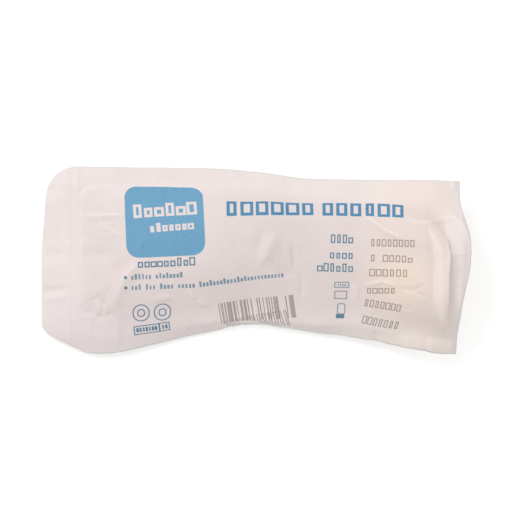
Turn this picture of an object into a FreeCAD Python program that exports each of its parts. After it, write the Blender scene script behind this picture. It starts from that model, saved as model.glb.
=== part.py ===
import FreeCAD, Part
import Sketcher
import math
import os

# A sealed peel pouch with a curved airway lying on its side inside it: a paper web over a film web,
# bonded along all four edges. X runs along the pouch from the peel tab to the flange of the airway,
# Y runs from the front long edge to the back one, and the film rests on the plane Z = 0.

doc = FreeCAD.newDocument("sealed_airway_pouch")
sheet = doc.addObject("Spreadsheet::Sheet", "Sizes")

# Sizes of the pouch and of what fills it, in millimetres and degrees.
SIZES = {
    "pouch_length": 146.7,
    "pouch_width": 66.0,
    "tab_lean": 1.9,
    "tab_lean_reach": 30.0,
    "tab_wave_rise": 0.8,
    "tab_wave_length": 20.0,
    "tab_wave_y": 21.0,
    "rim_thickness": 0.3,
    "side_seal_width": 6.3,
    "back_droop": 18.0,
    "wall_run": 10.0,
    "rest_depth": 1.6,
    "tube_tip_y": -2.0,
    "tube_bow": 17.0,
    "tube_flat_width": 9.0,
    "flange_y": -6.0,
    "flange_flat_width": 21.0,
    "flange_lean": 7.0,
    "flange_lean_reach": 16.0,
    "end_bulge": 3.9,
    "end_bulge_back": 10.0,
    "end_bulge_back_fall": 9.0,
    "end_bulge_front": 1.5,
    "end_bulge_front_fall": 23.0,
    "front_corner_pull": 1.2,
    "front_corner_y": -20.0,
    "front_corner_fall": 10.0,
    "corner_radius": 10.5,
    "corner_inset": 0.3,
    "curl_length": 19.9,
    "curl_side": 11.3,
    "curl_nose_x": 2.1,
    "curl_nose_y": 6.4,
    "cut_margin": 2.0,
}

# Stations along the pouch. Each one has its place, how far the airway draws the two long edges in from
# the pouch's full width, the height of the seal line inside each of them, how many degrees the front
# seal droops, and the paper's highest point. The places of the first four, up to the tip of the airway,
# are counted from the tab's free end, and the others from the middle of the pouch.
COLUMNS = ["at", "back_inset", "front_inset", "back_seal", "front_seal", "front_droop", "crest"]
STATIONS = {
    "tab_end": [0.0, 0.5, 0.4, 6.0, 3.2, 25.0, 5.6],
    "tab_seal": [9.3, 0.0, 0.2, 7.0, 4.8, 28.0, 7.4],
    "shoulder": [23.3, 0.6, 0.0, 7.2, 6.2, 28.0, 10.6],
    "tip": [35.3, 0.7, 2.3, 7.2, 6.6, 36.0, 14.6],
    "body": [-14.0, 0.8, 8.4, 7.0, 7.0, 68.0, 17.0],
    "waist": [-1.0, 1.9, 10.6, 7.2, 7.2, 82.0, 17.6],
    "neck": [22.0, 4.7, 7.3, 8.6, 8.2, 66.0, 17.4],
    "bite": [44.0, 4.9, 4.4, 12.0, 10.6, 38.0, 19.8],
    "flange_foot": [56.0, 4.9, 1.1, 14.2, 12.2, 30.0, 25.0],
    "flange_edge": [66.0, 4.9, 0.0, 14.6, 12.4, 28.0, 28.0],
    "end_seal": [69.0, 5.1, 0.0, 14.8, 12.6, 28.0, 22.6],
    "pack_end": [71.4, 5.4, 0.1, 13.8, 11.8, 28.0, 21.4],
}
TAB_STATIONS = ["tab_end", "tab_seal", "shoulder", "tip"]

# Broad folds in the paper. Each one has its two ends, with x counted from the station that it is named
# after, how far it rises or sinks, and half its width.
FOLD_COLUMNS = ["start_x", "start_y", "stop_x", "stop_y", "rise", "half_width"]
FOLDS = {
    "tip_ridge": [-6.0, -1.0, -13.0, -18.0, 1.4, 6.0],
    "tip_hollow": [-18.0, 4.0, -9.0, 1.0, -0.9, 6.0],
    "waist_ridge": [6.6, 8.0, 1.0, -3.0, 1.0, 5.0],
    "waist_valley": [13.0, 5.0, 16.0, -12.0, -1.3, 5.5],
    "bite_crease": [-5.0, -9.0, 10.0, -10.0, -1.0, 5.0],
}

# Where the sketches find the tab's free end and the two long edges beside it.
TAB_END = "Sizes.pack_end_at - Sizes.pouch_length"
TAB_BACK = "Sizes.pouch_width / 2 - Sizes.tab_end_back_inset"
TAB_FRONT = "Sizes.tab_end_front_inset - Sizes.pouch_width / 2"

# Lines across the pouch, from its front edge at 0: the seal lines, and the feet of the film's side walls.
FRONT_SEAL, FRONT_FOOT, BACK_FOOT, BACK_SEAL, BACK_EDGE = 1.0, 2.0, 3.0, 4.0, 5.0

# How many spans of control points the sheets have: between the stops along them, and across each patch.
ROW_COUNTS = [2, 3, 1, 3, 3, 2, 5, 2, 2, 3, 1, 2]
COLUMN_COUNTS = [1, 3, 7, 3, 1]


def fill_sheet():
    """Write every size into the sheet, each under the alias that the model reads it by."""
    cells = dict(SIZES)
    for names, table in ((COLUMNS, STATIONS), (FOLD_COLUMNS, FOLDS)):
        for item, values in table.items():
            cells.update({f"{item}_{name}": value for name, value in zip(names, values)})
    for row, (alias, value) in enumerate(cells.items(), start=1):
        sheet.set(f"A{row}", alias.replace("_", " "))
        sheet.set(f"B{row}", str(value))
        sheet.setAlias(f"B{row}", alias)
    doc.recompute()


def size(alias):
    return float(sheet.get(alias))


def place(station):
    """Where a station is along the pouch, whose tab hangs on the end away from the airway's flange."""
    start = 0.0
    if station in TAB_STATIONS:
        start = size("pack_end_at") - size("pouch_length")
    return start + size(f"{station}_at")


def ease(amount):
    """Rise from 0 to 1 with a level start and a level end."""
    amount = min(max(amount, 0.0), 1.0)
    return amount * amount * (3.0 - 2.0 * amount)


def hump(distance, reach):
    """A smooth bump of height 1 that reaches zero at the given distance on both sides."""
    return 1.0 - ease(abs(distance) / reach)


def slope_at(places, values, i):
    """The slope of a curve through stations, level wherever it would overshoot one."""
    if i == 0 or i == len(places) - 1:
        return 0.0
    before = (values[i] - values[i - 1]) / (places[i] - places[i - 1])
    after = (values[i + 1] - values[i]) / (places[i + 1] - places[i])
    if before * after <= 0.0:
        return 0.0
    return 2.0 * before * after / (before + after)


def along(column, x):
    """The value of one column of the stations at any place along the pouch, joined smoothly."""
    places = [place(station) for station in STATIONS]
    values = [size(f"{station}_{column}") for station in STATIONS]
    x = min(max(x, places[0]), places[-1])
    i = max(k for k in range(len(places) - 1) if places[k] <= x)
    span = places[i + 1] - places[i]
    amount = (x - places[i]) / span
    start_slope = slope_at(places, values, i) * span
    end_slope = slope_at(places, values, i + 1) * span
    back = 1.0 - amount
    return (
        values[i] * (1.0 + 2.0 * amount) * back * back
        + start_slope * amount * back * back
        + values[i + 1] * amount * amount * (3.0 - 2.0 * amount)
        - end_slope * amount * amount * back
    )


def front_edge(x):
    return along("front_inset", x) - size("pouch_width") / 2.0


def back_edge(x):
    return size("pouch_width") / 2.0 - along("back_inset", x)


def crest_y(x):
    """The middle of the airway across the pouch: an arch from the tip of its tube to its flange."""
    tip, flange = place("tip"), place("flange_edge")
    amount = min(max((x - tip) / (flange - tip), 0.0), 1.0)
    chord = size("tube_tip_y") + (size("flange_y") - size("tube_tip_y")) * amount
    return chord + size("tube_bow") * math.sin(math.pi * amount)


def crest_half_width(x):
    """Half the width where the paper lies level on the airway: the tube's, widening to the flange's."""
    widening = ease((x - place("bite")) / (place("flange_edge") - place("bite")))
    tube, flange = size("tube_flat_width") / 2.0, size("flange_flat_width") / 2.0
    return tube + (flange - tube) * widening


def seal_lines(x):
    """The lines where paper and film part, as (y, z) at the front and at the back."""
    width = size("side_seal_width")
    front_droop = math.radians(along("front_droop", x))
    back_droop = math.radians(size("back_droop"))
    front = (front_edge(x) + width * math.cos(front_droop), along("front_seal", x))
    back = (back_edge(x) - width * math.cos(back_droop), along("back_seal", x))
    return front, back


def paper_height(x, y):
    """The height of the paper between the seal lines, pulled straight up to the airway and over it."""
    (front_y, front_z), (back_y, back_z) = seal_lines(x)
    middle, half = crest_y(x), crest_half_width(x)
    if y < middle - half:
        climb = (y - front_y) / (middle - half - front_y)
    elif y > middle + half:
        climb = (back_y - y) / (back_y - middle - half)
    else:
        climb = 1.0
    line = front_z + (back_z - front_z) * (y - front_y) / (back_y - front_y)
    return line + (along("crest", x) - line) * climb * (1.5 - 0.5 * climb * climb)


def fold_height(x, y):
    """How far the folds lift or sink the paper at one place."""
    height = 0.0
    for fold in FOLDS:
        start_x, start_y, stop_x, stop_y, rise, half = (size(f"{fold}_{name}") for name in FOLD_COLUMNS)
        start_x += place(fold.split("_")[0])
        stop_x += place(fold.split("_")[0])
        length = math.hypot(stop_x - start_x, stop_y - start_y)
        run_x, run_y = (stop_x - start_x) / length, (stop_y - start_y) / length
        forward = (x - start_x) * run_x + (y - start_y) * run_y
        beside = (x - start_x) * run_y - (y - start_y) * run_x
        height += rise * hump(beside, half) * hump(forward - length / 2.0, length / 2.0 + half)
    return height


def tab_share(x):
    """How freely the peel tab moves: 1 at its end, and 0 from the seal on."""
    return 1.0 - ease((x - place("tab_end")) / size("tab_seal_at"))


def tab_wave(x, y):
    """The height of the waves across the peel tab, where nothing holds the two webs flat."""
    wave = math.sin(2.0 * math.pi * (size("tab_wave_y") - y) / size("tab_wave_length"))
    return size("tab_wave_rise") * wave * tab_share(x)


def cross_section(x, column):
    """One point across the pouch: its y, the paper's height, the paper's turn away from level, and how
    far the film has left the paper."""
    (front_y, front_z), (back_y, back_z) = seal_lines(x)
    width, run = size("side_seal_width"), size("wall_run")
    front_droop, back_droop = math.radians(along("front_droop", x)), math.radians(size("back_droop"))
    if column < FRONT_SEAL:
        out = width * (FRONT_SEAL - column)
        y, z = front_y - out * math.cos(front_droop), front_z - out * math.sin(front_droop)
        return y, z, front_droop, 0.0
    if column > BACK_SEAL:
        out = width * (column - BACK_SEAL)
        y, z = back_y + out * math.cos(back_droop), back_z - out * math.sin(back_droop)
        return y, z, -back_droop, 0.0
    if column < FRONT_FOOT:
        apart = column - FRONT_SEAL
        y, turn = front_y + run * apart, front_droop * (1.0 - apart)
    elif column > BACK_FOOT:
        apart = BACK_SEAL - column
        y, turn = back_y - run * apart, -back_droop * (1.0 - apart)
    else:
        apart, turn = 1.0, 0.0
        y = front_y + run + (back_y - front_y - 2.0 * run) * (column - FRONT_FOOT)
    return y, paper_height(x, y), turn, apart


def film_height(x, y, under_paper, sides_apart):
    """The height of the film: under the paper in the seals, down its straight walls, and on the table."""
    run, tab, end = size("wall_run"), place("tab_seal"), place("end_seal")
    ends_apart = min(max(min((x - tab) / run, (end - x) / run), 0.0), 1.0)
    if ends_apart == 0.0 or sides_apart == 0.0:
        return under_paper
    (front_y, front_z), (back_y, back_z) = seal_lines(x)
    top = front_z + (back_z - front_z) * (y - front_y) / (back_y - front_y) - size("rim_thickness")
    return top - (top + size("rest_depth")) * ends_apart * sides_apart


def end_shift(x, y):
    """How far the tab's lean, the flange and the wavy end seal push the pouch's sheets along it."""
    lean = -size("flange_lean") * ease(y / size("flange_lean_reach"))
    lean *= ease((x - place("bite")) / (place("flange_foot") - place("bite")))
    lean *= 1.0 - ease((x - place("end_seal")) / (place("pack_end") - place("end_seal")))
    bulge = size("end_bulge") * (1.0 - ease((y - size("end_bulge_back")) / size("end_bulge_back_fall")))
    bulge *= 1.0 - ease((size("end_bulge_front") - y) / size("end_bulge_front_fall"))
    pull = size("front_corner_pull") * ease((size("front_corner_y") - y) / size("front_corner_fall"))
    seal = ease((x - place("flange_edge")) / (place("pack_end") - place("flange_edge")))
    tab = size("tab_lean") * ease(y / size("tab_lean_reach")) * tab_share(x)
    return tab + lean + (bulge - pull) * seal


def divide(stops, counts):
    """Places from the first stop to the last, with a count of them in each run, and the stops' indexes."""
    places, breaks = [stops[0]], [0]
    for start, end, count in zip(stops, stops[1:], counts):
        places += [start + (end - start) * i / count for i in range(1, count + 1)]
        breaks.append(len(places) - 1)
    return places, breaks


def soften(net, places, i, columns):
    """Let the sheet run on without a crease where two of its patches meet at row i."""
    share = (places[i] - places[i - 1]) / (places[i + 1] - places[i - 1])
    for j in columns:
        net[i][j] = net[i - 1][j] + (net[i + 1][j] - net[i - 1][j]) * share


def sheet_point(x, column, is_film):
    """One control point of the paper, or of the film under it."""
    y, z, turn, apart = cross_section(x, column)
    shifted, wave = x + end_shift(x, y), tab_wave(x, y)
    if not is_film:
        fold = fold_height(shifted, y) if FRONT_SEAL < column < BACK_SEAL else 0.0
        return FreeCAD.Vector(shifted, y, z + fold + wave)
    rim = size("rim_thickness")
    under_y, under_z = y + rim * math.sin(turn), z - rim * math.cos(turn)
    return FreeCAD.Vector(shifted, under_y, film_height(x, y, under_z, apart) + wave)


def control_net(is_film):
    """The control net of one sheet, with the rows and columns where its patches meet."""
    run = size("wall_run")
    tab_foot, end_foot = place("tab_seal") + run, place("end_seal") - run
    stops = [place("tab_end"), place("tab_seal"), tab_foot]
    stops += [place(station) for station in ("shoulder", "tip", "body", "waist", "neck", "bite")]
    stops += [end_foot, place("flange_edge"), place("end_seal"), place("pack_end")]
    rows, row_stops = divide(stops, ROW_COUNTS)
    row_breaks = [row_stops[stops.index(stop)] for stop in (*stops[:3], *stops[-4:])]
    lines = [0.0, FRONT_SEAL, FRONT_FOOT, BACK_FOOT, BACK_SEAL, BACK_EDGE]
    columns, column_breaks = divide(lines, COLUMN_COUNTS)
    net = [[sheet_point(x, column, is_film) for column in columns] for x in rows]
    held = range(len(columns))
    if is_film:
        held = [j for j in held if columns[j] <= FRONT_SEAL or columns[j] >= BACK_SEAL]
    for i in (row_breaks[2], row_breaks[3]):
        soften(net, rows, i, held)
    for x, row in zip(rows, net):
        if is_film and place("tab_seal") < x < place("end_seal"):
            continue
        for j in (column_breaks[2], column_breaks[3]):
            before, after = (row[j] - row[j - 1]).Length, (row[j + 1] - row[j]).Length
            row[j] = row[j - 1] + (row[j + 1] - row[j - 1]) * (before / (before + after))
    return net, row_breaks, column_breaks


def patch(net, first_row, last_row, first_column, last_column):
    """One patch of a sheet: a surface drawn by its part of the control net and held at its four edges."""
    points = [row[first_column:last_column + 1] for row in net[first_row:last_row + 1]]
    degrees, knots, mults = [], [], []
    for count in (len(points), len(points[0])):
        degree = min(3, count - 1)
        inner = count - degree - 1
        degrees.append(degree)
        knots.append([float(k) for k in range(inner + 2)])
        mults.append([degree + 1] + [1] * inner + [degree + 1])
    surface = Part.BSplineSurface()
    surface.buildFromPolesMultsKnots(points, *mults, *knots, False, False, *degrees)
    return surface


def filled_skin():
    """The closed skin of the filled pouch: the patches of its paper and film, and the strips of its rim."""
    paper, row_breaks, column_breaks = control_net(False)
    film = control_net(True)[0]
    faces = []
    for first_row, last_row in zip(row_breaks, row_breaks[1:]):
        for first_column, last_column in zip(column_breaks, column_breaks[1:]):
            span = (first_row, last_row, first_column, last_column)
            upper, lower = patch(paper, *span), patch(film, *span)
            faces += [upper.toShape(), lower.toShape()]
            u_start, u_end, v_start, v_end = upper.bounds()
            rims = []
            if first_row == 0:
                rims.append((upper.uIso(u_start), lower.uIso(u_start)))
            if last_row == row_breaks[-1]:
                rims.append((upper.uIso(u_end), lower.uIso(u_end)))
            if first_column == 0:
                rims.append((upper.vIso(v_start), lower.vIso(v_start)))
            if last_column == column_breaks[-1]:
                rims.append((upper.vIso(v_end), lower.vIso(v_end)))
            faces += [Part.makeRuledSurface(top.toShape(), bottom.toShape()) for top, bottom in rims]
    shell = Part.makeShell(faces)
    shell.sewShape()
    solid = Part.makeSolid(shell)
    if solid.Volume < 0.0:
        solid.reverse()
    return solid


def sketch_on_table(body, name):
    """A new sketch on the plane that the pouch rests on."""
    table = next(item for item in body.Origin.OriginFeatures if item.Role == "XY_Plane")
    sketch = body.newObject("Sketcher::SketchObject", name)
    sketch.AttachmentSupport = (table, "")
    sketch.MapMode = "FlatFace"
    return sketch


def bind(sketch, kind, where, name, expression):
    """Add a constraint with a size that follows the sheet."""
    number = sketch.addConstraint(Sketcher.Constraint(kind, *where, 1.0))
    sketch.renameConstraint(number, name)
    sketch.setExpression(f"Constraints.{name}", expression)


def draw_polygon(sketch, corners):
    """Draw a closed polygon whose corners are given as expressions of the sheet's sizes."""
    count = len(corners)
    turns = [2.0 * math.pi * i / count for i in range(count)]
    rough = [FreeCAD.Vector(math.cos(turn), math.sin(turn), 0.0) for turn in turns]
    for i in range(count):
        sketch.addGeometry(Part.LineSegment(rough[i], rough[(i + 1) % count]))
    for i, (x, y) in enumerate(corners):
        sketch.addConstraint(Sketcher.Constraint("Coincident", i, 2, (i + 1) % count, 1))
        bind(sketch, "DistanceX", (-1, 1, i, 1), f"corner_{i}_x", x)
        bind(sketch, "DistanceY", (-1, 1, i, 1), f"corner_{i}_y", y)


def draw_round_corner(sketch):
    """Draw what is cut off the tab's back corner: a square with the corner's arc as its inner side."""
    middle = FreeCAD.Vector(0.0, 0.0, 0.0)
    circle = Part.Circle(middle, FreeCAD.Vector(0.0, 0.0, 1.0), 1.0)
    arc = sketch.addGeometry(Part.ArcOfCircle(circle, math.pi / 2.0, math.pi))
    places = [(0.0, 1.0), (0.0, 2.0), (-2.0, 2.0), (-2.0, 0.0), (-1.0, 0.0)]
    points = [FreeCAD.Vector(x, y, 0.0) for x, y in places]
    lines = [sketch.addGeometry(Part.LineSegment(points[i], points[i + 1])) for i in range(4)]
    sketch.addConstraint(Sketcher.Constraint("Coincident", arc, 1, lines[0], 1))
    for first, second in zip(lines, lines[1:]):
        sketch.addConstraint(Sketcher.Constraint("Coincident", first, 2, second, 1))
    sketch.addConstraint(Sketcher.Constraint("Coincident", lines[3], 2, arc, 2))
    for line, direction in zip(lines, ("Vertical", "Horizontal", "Vertical", "Horizontal")):
        sketch.addConstraint(Sketcher.Constraint(direction, line))
    sketch.addConstraint(Sketcher.Constraint("Vertical", arc, 3, arc, 1))
    sketch.addConstraint(Sketcher.Constraint("Horizontal", arc, 3, arc, 2))
    reach = "Sizes.corner_radius - Sizes.corner_inset"
    bind(sketch, "Radius", (arc,), "radius", "Sizes.corner_radius")
    bind(sketch, "DistanceX", (-1, 1, arc, 3), "middle_x", f"{TAB_END} + Sizes.tab_lean + {reach}")
    bind(sketch, "DistanceY", (-1, 1, arc, 3), "middle_y", f"{TAB_BACK} - ({reach})")
    bind(sketch, "DistanceY", (lines[0], 1, lines[0], 2), "margin_y", "Sizes.cut_margin")
    bind(sketch, "DistanceX", (lines[3], 1, lines[3], 2), "margin_x", "Sizes.cut_margin")


def cut_away(body, sketch, name, upwards):
    """Cut the sketch's outline out of everything above the table or below it."""
    before = body.Shape.Volume
    pocket = body.newObject("PartDesign::Pocket", name)
    pocket.Profile = sketch
    pocket.Type = "ThroughAll"
    pocket.Reversed = upwards
    doc.recompute()
    if math.isclose(pocket.Shape.Volume, before):
        raise RuntimeError(f"{name} cuts nothing")


def build_pouch():
    """The sealed pouch: its filled skin, pressed flat where it rests and trimmed at the tab's corners."""
    skin = doc.addObject("Part::Feature", "filled_skin")
    skin.Shape = filled_skin()
    body = doc.addObject("PartDesign::Body", "sealed_pouch")
    body.Label = "sealed_pouch"
    body.BaseFeature = skin
    doc.recompute()

    margin = "Sizes.cut_margin"
    left, right = f"{TAB_END} - {margin}", f"Sizes.pack_end_at + Sizes.end_bulge + {margin}"
    front, back = f"-Sizes.pouch_width / 2 - {margin}", f"Sizes.pouch_width / 2 + {margin}"
    corner = sketch_on_table(body, "back_corner_outline")
    draw_round_corner(corner)
    cut_away(body, corner, "back_corner", True)

    curl = sketch_on_table(body, "front_corner_outline")
    nose = (f"{TAB_END} + Sizes.curl_nose_x", f"{TAB_FRONT} + Sizes.curl_nose_y")
    draw_polygon(curl, [
        (left, f"{TAB_FRONT} + Sizes.curl_side"),
        (left, front),
        (f"{TAB_END} + Sizes.curl_length", front),
        nose,
    ])
    cut_away(body, curl, "front_corner", True)

    rest = sketch_on_table(body, "rest_outline")
    draw_polygon(rest, [(left, front), (right, front), (right, back), (left, back)])
    cut_away(body, rest, "rest_face", False)

    box = body.Shape.optimalBoundingBox()
    middle = FreeCAD.Vector(-box.Center.x, -box.Center.y, 0.0)
    body.Placement = FreeCAD.Placement(middle, FreeCAD.Rotation())
    return body


def check(parts):
    """Stop if any object of the document failed, or any part isn't one sound solid."""
    for item in doc.Objects:
        if {"Invalid", "Error"} & set(item.State):
            raise RuntimeError(f"{item.Label} failed: {item.State}")
    for part in parts:
        shape = part.Shape
        if shape.isNull() or not shape.isValid() or len(shape.Solids) != 1:
            raise RuntimeError(f"{part.Label} isn't one valid solid")


fill_sheet()
parts = [build_pouch()]
doc.recompute()
check(parts)
os.makedirs("parts", exist_ok=True)
for part in parts:
    part.Shape.exportStep(f"parts/{part.Label}.step")
    box = part.Shape.optimalBoundingBox()
    print(f"{part.Label}: {box.XLength:.1f} x {box.YLength:.1f} x {box.ZLength:.1f} mm")
    print(f"volume {part.Shape.Volume / 1000.0:.1f} cm3, {len(part.Shape.Faces)} faces")
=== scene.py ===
# %% [markdown]
# A sealed peel pouch lies on a white table, paper side up, with a curved airway inside it. The packed
# model gives its real size and its main form, so this first cell loads it as a fixed frame. Everything
# below works in metres and in the frame's own axes: X runs along the pouch from its peel tab, Y runs
# across it, and the table is Z = 0. Places read off the object are written in millimetres.

# %% Load the frame
import math

import bpy
import numpy as np
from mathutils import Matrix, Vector
from mathutils.bvhtree import BVHTree


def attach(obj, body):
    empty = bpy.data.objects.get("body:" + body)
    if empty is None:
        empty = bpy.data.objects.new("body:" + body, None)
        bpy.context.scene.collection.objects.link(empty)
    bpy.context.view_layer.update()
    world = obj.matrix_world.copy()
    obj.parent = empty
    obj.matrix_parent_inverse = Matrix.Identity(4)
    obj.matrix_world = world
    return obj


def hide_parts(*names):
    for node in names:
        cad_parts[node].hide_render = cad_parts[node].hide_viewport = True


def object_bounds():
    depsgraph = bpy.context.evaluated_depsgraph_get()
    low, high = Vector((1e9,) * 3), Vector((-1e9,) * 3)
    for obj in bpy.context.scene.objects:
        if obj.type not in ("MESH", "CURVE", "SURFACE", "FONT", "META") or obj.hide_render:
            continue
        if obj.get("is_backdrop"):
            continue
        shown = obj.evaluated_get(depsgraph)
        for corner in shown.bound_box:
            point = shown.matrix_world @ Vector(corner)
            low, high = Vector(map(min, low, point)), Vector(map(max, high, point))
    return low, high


MM = 0.001
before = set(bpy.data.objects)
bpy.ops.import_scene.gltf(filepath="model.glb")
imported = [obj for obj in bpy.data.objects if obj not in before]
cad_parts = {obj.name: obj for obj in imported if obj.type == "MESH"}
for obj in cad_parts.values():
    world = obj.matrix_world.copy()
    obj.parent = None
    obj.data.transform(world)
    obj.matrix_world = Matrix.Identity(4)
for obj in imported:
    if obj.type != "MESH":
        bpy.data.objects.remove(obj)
cad_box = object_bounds()
print("packed pouch, mm:", [round(float(high - low) / MM, 1) for low, high in zip(*cad_box)])

# %% [markdown]
# The photograph looks straight down from far away, so the camera is a long lens high above the table.
# Its focal length follows from the width of table that the picture takes in, so nothing is shifted.

# %% Camera
VIEW_WIDTH = 179.65 * MM
CAMERA_HEIGHT = 3.0
SENSOR_WIDTH = 36.0
SHARP_HEIGHT = 10.0 * MM

camera_data = bpy.data.cameras.new("camera")
camera_data.sensor_fit = "HORIZONTAL"
camera_data.sensor_width = SENSOR_WIDTH
camera_data.lens = SENSOR_WIDTH * (CAMERA_HEIGHT - SHARP_HEIGHT) / VIEW_WIDTH
camera_data.clip_end = 10.0 * CAMERA_HEIGHT
camera = bpy.data.objects.new("camera", camera_data)
camera.location = (0.0, 0.0, CAMERA_HEIGHT)
bpy.context.scene.collection.objects.link(camera)
bpy.context.scene.camera = camera
print("focal length, mm:", round(camera_data.lens))

# %% [markdown]
# The pouch is two webs, paper over film, and both are sheets. A sheet could be cut out of the packed
# solid, but its triangles are too large and uneven to fold, so each web is made anew as a grid of
# squares under half a millimetre wide that is laid over the solid. This cell keeps the solid's
# triangles where a ray can find them, and measures how far its outline reaches.

# %% Read the solid
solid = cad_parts["sealed_pouch"].data
solid.calc_loop_triangles()
places = np.empty(len(solid.vertices) * 3)
solid.vertices.foreach_get("co", places)
places = places.reshape(-1, 3)
triangles = np.empty(len(solid.loop_triangles) * 3, dtype=np.int64)
solid.loop_triangles.foreach_get("vertices", triangles)
triangles = triangles.reshape(-1, 3)
skin = BVHTree.FromPolygons([Vector(place) for place in places], triangles.tolist())


def reach(axis, value):
    """How low and how high the outline goes on the other level axis, at one value on this axis."""
    crossings = []
    for first, second in ((0, 1), (1, 2), (2, 0)):
        start, end = places[triangles[:, first]], places[triangles[:, second]]
        crosses = (start[:, axis] - value) * (end[:, axis] - value) < 0.0
        start, end = start[crosses], end[crosses]
        share = (value - start[:, axis]) / (end[:, axis] - start[:, axis])
        crossings.append(start[:, 1 - axis] + (end - start)[:, 1 - axis] * share)
    crossings = np.concatenate(crossings)
    return crossings.min(), crossings.max()


def corner(x_side, y_side):
    """The outline's corner that lies furthest out towards one diagonal."""
    return places[np.argmax(places[:, 0] * x_side + places[:, 1] * y_side), :2]


print("solid's triangles:", len(triangles))

# %% [markdown]
# The outline is split at the pouch's four corners into four edges. Each edge is a line of points read
# off the solid, set a hair inside it, so that a ray dropped there still meets the surface.

# %% Four edges
EDGE_POINTS = 400
EDGE_INSET = 0.03 * MM
LOW, HIGH = 0, 1


def edge(start, end, axis, side):
    """One edge of the outline, from corner to corner, read at even steps along one axis."""
    line = np.zeros((EDGE_POINTS, 2))
    line[:, axis] = np.linspace(start[axis], end[axis], EDGE_POINTS)
    inward = EDGE_INSET if side == LOW else -EDGE_INSET
    for point in line[1:-1]:
        point[1 - axis] = reach(axis, point[axis])[side] + inward
    line[0], line[-1] = start, end
    return line


def spread(line, count):
    """The same line with its points spread evenly along its length."""
    steps = np.linalg.norm(np.diff(line, axis=0), axis=1)
    lengths = np.concatenate(([0.0], np.cumsum(steps)))
    wanted = np.linspace(0.0, lengths[-1], count)
    return np.stack([np.interp(wanted, lengths, values) for values in line.T], axis=1)


centre = places[:, :2].mean(axis=0)
pull_in = 1.0 - 2.0 * EDGE_INSET / np.linalg.norm(corner(1, 1) - centre)
tab_front, tab_back = (centre + (corner(-1, side) - centre) * pull_in for side in (-1, 1))
end_front, end_back = (centre + (corner(1, side) - centre) * pull_in for side in (-1, 1))
tab_edge = edge(tab_front, tab_back, 1, LOW)
end_edge = edge(end_front, end_back, 1, HIGH)
front_edge = edge(tab_front, end_front, 0, LOW)
back_edge = edge(tab_back, end_back, 0, HIGH)
print("tab corners, mm:", (tab_front / MM).round(1), (tab_back / MM).round(1))

# %% [markdown]
# Between its edges the sheet is filled by a Coons patch: two blends of opposite edges, less the blend
# of the four corners. Rays then drop its points onto the solid, from above for the paper and from below
# for the film. The points are spread evenly over the surface, first across the pouch and then along it,
# so that steep walls get as many squares as level places.

# %% Lay a grid on the solid
RAY_ROWS, RAY_COLUMNS = 330, 300
RAY_START = 100.0 * MM


def coons(rows, columns):
    """Plan places of a sheet between its four edges."""
    s = np.linspace(0.0, 1.0, rows)[:, None, None]
    t = (0.5 - 0.5 * np.cos(np.linspace(0.0, math.pi, columns)))[None, :, None]
    steps = np.linspace(0.0, 1.0, EDGE_POINTS)

    def at(line, shares):
        return np.stack([np.interp(shares, steps, values) for values in line.T], axis=1)

    front, back = at(front_edge, s[:, 0, 0])[:, None], at(back_edge, s[:, 0, 0])[:, None]
    tab, end = at(tab_edge, t[0, :, 0])[None], at(end_edge, t[0, :, 0])[None]
    corners = (tab_front * (1 - t) + tab_back * t) * (1 - s) + (end_front * (1 - t) + end_back * t) * s
    return front * (1 - t) + back * t + tab * (1 - s) + end * s - corners


def drop(plan, from_below):
    """The height of the solid's paper or film side at each plan place."""
    start = -RAY_START if from_below else RAY_START
    way = Vector((0.0, 0.0, 1.0 if from_below else -1.0))
    heights = np.zeros(len(plan))
    for i, (x, y) in enumerate(plan):
        hit = skin.ray_cast(Vector((x, y, start)), way)[0]
        if hit is None:
            hit = skin.find_nearest(Vector((x, y, heights[i - 1])))[0]
        heights[i] = hit.z
    return heights


print("rays for each web:", RAY_ROWS * RAY_COLUMNS)

# %% [markdown]
# A few rounds of smoothing wipe out the solid's flat triangles, and leave its form. The film is seen less,
# and has no fine creases but at its seals, so its squares are twice as wide as the paper's.

# %% Grids of both webs
PAPER_ROWS, PAPER_COLUMNS = 322, 142
FILM_ROWS, FILM_COLUMNS = PAPER_ROWS // 2, PAPER_COLUMNS // 2
SMOOTHING_ROUNDS = 8


def smooth(grid, rounds):
    """Average each point with its neighbours, along the edges only with those on the same edge."""
    for _ in range(rounds):
        for axis in (0, 1):
            inner = [slice(None)] * 3
            before, after = list(inner), list(inner)
            inner[axis], before[axis], after[axis] = slice(1, -1), slice(None, -2), slice(2, None)
            mean = 0.5 * grid[tuple(inner)] + 0.25 * (grid[tuple(before)] + grid[tuple(after)])
            grid[tuple(inner)] = mean
    return grid


def sheet(rows, columns, from_below):
    """A grid of points over one side of the solid, even across it, and even along it on average."""
    plan = coons(RAY_ROWS, RAY_COLUMNS)
    heights = drop(plan.reshape(-1, 2), from_below).reshape(RAY_ROWS, RAY_COLUMNS, 1)
    across = np.stack([spread(row, columns) for row in np.concatenate((plan, heights), axis=2)])
    steps = np.linalg.norm(np.diff(across, axis=0), axis=2).mean(axis=1)
    lengths = np.concatenate(([0.0], np.cumsum(steps)))
    wanted = np.interp(np.linspace(0.0, lengths[-1], rows), lengths, np.arange(RAY_ROWS))
    low = np.minimum(wanted.astype(int), RAY_ROWS - 2)
    share = (wanted - low)[:, None, None]
    return smooth(across[low] * (1.0 - share) + across[low + 1] * share, SMOOTHING_ROUNDS)


paper = sheet(PAPER_ROWS, PAPER_COLUMNS, from_below=False)
film = sheet(FILM_ROWS, FILM_COLUMNS, from_below=True)
paper_length = np.linalg.norm(np.diff(paper[:, PAPER_COLUMNS // 2], axis=0), axis=1).sum()
print("paper along its middle, mm:", round(float(paper_length) / MM, 1))

# %% [markdown]
# The rim is two webs bonded together, so it is stiffer than either. Where it leans on the airway it stands
# up a little more than the solid's rim does. The end seal is lifted over its middle, and one soft bump
# raises the front seal beside it, both straight up, so that the outline seen from above stays.

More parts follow.
